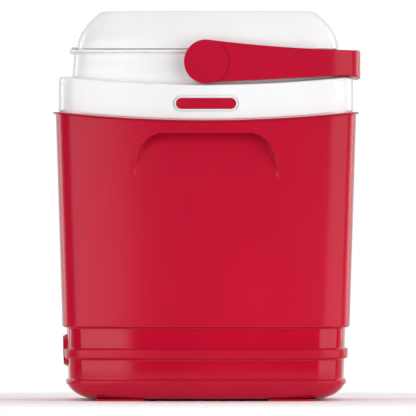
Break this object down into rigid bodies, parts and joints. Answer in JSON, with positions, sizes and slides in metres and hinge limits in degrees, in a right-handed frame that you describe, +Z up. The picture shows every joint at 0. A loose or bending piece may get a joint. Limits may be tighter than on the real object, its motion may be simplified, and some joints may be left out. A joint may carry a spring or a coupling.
{
  "type": "cooler on wheels",
  "caption": "Insulated upright cooler box with a hinged domed lid, a folding carrying handle, a hand scoop in the front and transport wheels under the rear edge.",
  "frame": {"origin": "on the ground under the middle of the box", "axes": "+Z up, -Y is the front with the hand scoop, +X is the side the handle folds down to"},
  "size_m": [0.368, 0.3104, 0.4644],
  "materials": {
    "red_plastic": "satin moulded plastic",
    "white_plastic": "satin moulded plastic",
    "liner_white": "smooth food-safe plastic",
    "foam": "rigid expanded foam",
    "seal_rubber": "soft rubber",
    "tyre_rubber": "hard rubber",
    "dark_plastic": "moulded plastic",
    "steel": "zinc-plated steel"
  },
  "bodies": {
    "box": {"body_shell": "red_plastic", "body_insulation": "foam", "inner_liner": "liner_white", "collar": "white_plastic", "badge_plate": "red_plastic", "lid_hinge_pin": "steel", "pivot_stud_front": "dark_plastic", "pivot_stud_rear": "dark_plastic", "axle": "steel", "axle_cap_left": "steel", "axle_cap_right": "steel", "axle_bracket_left": "dark_plastic", "axle_bracket_right": "dark_plastic", "foot_left": "red_plastic", "foot_right": "red_plastic", "bracket_screw_1": "steel", "bracket_screw_2": "steel", "bracket_screw_3": "steel", "bracket_screw_4": "steel"},
    "lid": {"lid_shell": "white_plastic", "lid_insulation": "foam", "lid_inner_panel": "liner_white", "lid_seal": "seal_rubber"},
    "handle": {"handle": "red_plastic", "handle_cap_front": "red_plastic", "handle_cap_rear": "red_plastic"},
    "wheel_left": {"wheel_hub_left": "dark_plastic", "tyre_left": "tyre_rubber"},
    "wheel_right": {"wheel_hub_right": "dark_plastic", "tyre_right": "tyre_rubber"}
  },
  "joints": [
    {"name": "lid_hinge", "type": "hinge", "parent": "box", "child": "lid", "pos_m": [-0.1588, 0, 0.42], "axis": [0, -1, 0], "range_deg": [0, 100]},
    {"name": "handle_swing", "type": "hinge", "parent": "box", "child": "handle", "pos_m": [0, 0, 0.4038], "axis": [0, -1, 0], "range_deg": [0, 90]},
    {"name": "wheel_left_spin", "type": "hinge", "parent": "box", "child": "wheel_left", "pos_m": [-0.12, 0.115, 0.028], "axis": [1, 0, 0], "continuous": true},
    {"name": "wheel_right_spin", "type": "hinge", "parent": "box", "child": "wheel_right", "pos_m": [0.12, 0.115, 0.028], "axis": [1, 0, 0], "continuous": true}
  ]
}
